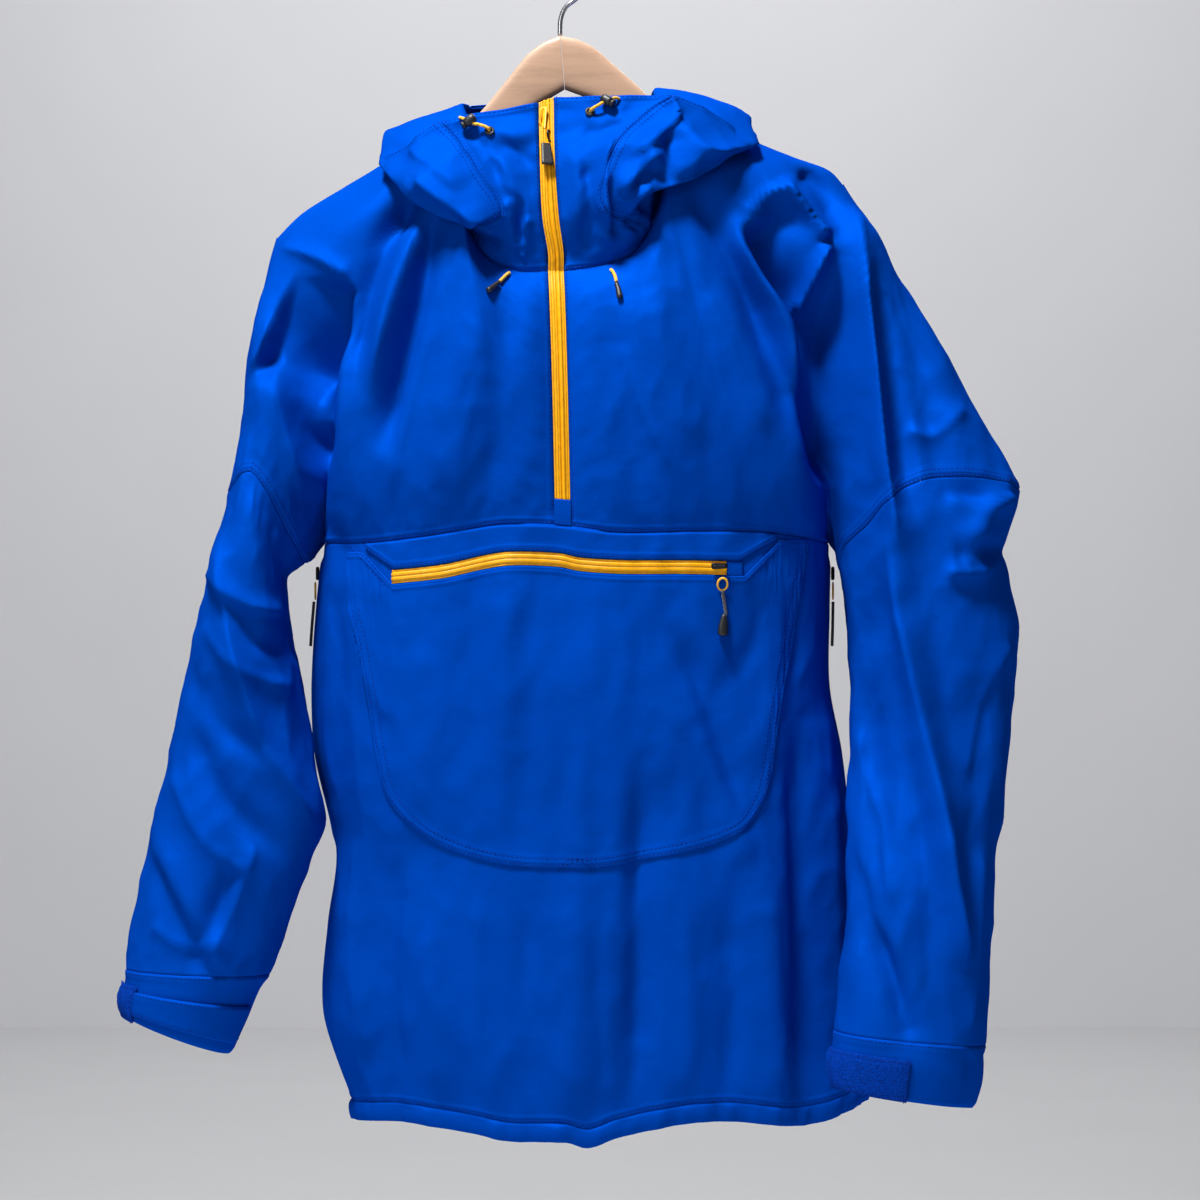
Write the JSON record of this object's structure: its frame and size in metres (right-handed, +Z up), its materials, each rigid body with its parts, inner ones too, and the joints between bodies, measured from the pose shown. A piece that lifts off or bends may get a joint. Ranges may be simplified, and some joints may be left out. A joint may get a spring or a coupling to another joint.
{
  "type": "anorak pullover on a hanger",
  "caption": "Hooded half-zip shell pullover with a large front pocket and pit zips, hanging on a wooden hanger.",
  "frame": {"origin": "the inner top of the hanger's hook, where a rail carries it", "axes": "+Z up, -Y out of the wearer's front, +X to the wearer's left"},
  "size_m": [0.6482, 0.2687, 0.8626],
  "materials": {
    "shell": "smooth waterproof cloth, satin",
    "zip_tape": "coated water-resistant tape",
    "yellow_cord": "braided elastic cord",
    "yellow_wire": "painted wire",
    "black_trim": "moulded, matte",
    "grey_cord": "braided cord",
    "steel": "plated wire",
    "loop_patch": "fuzzy loop tape",
    "wood": "pale lacquered beech"
  },
  "bodies": {
    "garment": {"yoke_front_r": "shell", "yoke_front_l": "shell", "yoke_back": "shell", "front_lower": "shell", "back_lower": "shell", "hem_front": "shell", "hem_back": "shell", "sleeve_upper_r": "shell", "sleeve_upper_l": "shell", "sleeve_lower_r": "shell", "sleeve_lower_l": "shell", "cuff_r": "shell", "cuff_l": "shell", "collar_r": "shell", "collar_l": "shell", "hood_side_r": "shell", "hood_side_l": "shell", "hood_centre": "shell", "pocket_panel": "shell", "pocket_band": "shell", "pocket_zip_end": "shell", "zip_garage": "shell", "cuff_tab_r": "shell", "cuff_tab_l": "shell", "front_zip_tape": "zip_tape", "pocket_zip_tape": "zip_tape", "pit_zip_r": "zip_tape", "pit_zip_l": "zip_tape", "hood_cord_r": "yellow_cord", "hood_cord_l": "yellow_cord", "neck_cord_r": "yellow_cord", "neck_cord_l": "yellow_cord", "front_zip_slider": "black_trim", "pocket_zip_slider": "black_trim", "pit_slider_r": "black_trim", "pit_slider_l": "black_trim", "hood_eyelet_r": "black_trim", "hood_eyelet_l": "black_trim", "hood_lock_r": "black_trim", "hood_lock_l": "black_trim", "neck_cord_end_r": "black_trim", "neck_cord_end_l": "black_trim", "hanger_hook": "steel", "cuff_patch_r": "loop_patch", "cuff_patch_l": "loop_patch", "hanger_arm_r": "wood", "hanger_arm_l": "wood"},
    "front_pull": {"front_pull_link": "steel", "front_pull_tab": "black_trim"},
    "pocket_pull": {"pocket_pull_ring": "yellow_wire", "pocket_pull_cord": "grey_cord", "pocket_pull_grip": "black_trim"},
    "pit_pull_r": {"pit_pull_ring_r": "yellow_wire", "pit_pull_cord_r": "grey_cord"},
    "pit_pull_l": {"pit_pull_ring_l": "yellow_wire", "pit_pull_cord_l": "grey_cord"}
  },
  "joints": [
    {"name": "front_pull_lift", "type": "hinge", "parent": "garment", "child": "front_pull", "pos_m": [-0.00962, -0.05807, -0.13439], "axis": [-1, 0, 0], "range_deg": [0, 90]},
    {"name": "pocket_pull_lift", "type": "hinge", "parent": "garment", "child": "pocket_pull", "pos_m": [0.11662, -0.07665, -0.45359], "axis": [-1, 0, 0], "range_deg": [0, 90]},
    {"name": "pit_pull_r_swing", "type": "hinge", "parent": "garment", "child": "pit_pull_r", "pos_m": [-0.17857, 0, -0.45818], "axis": [1, 0, 0], "range_deg": [-40, 40]},
    {"name": "pit_pull_l_swing", "type": "hinge", "parent": "garment", "child": "pit_pull_l", "pos_m": [0.19924, 0, -0.45818], "axis": [1, 0, 0], "range_deg": [-40, 40]}
  ]
}
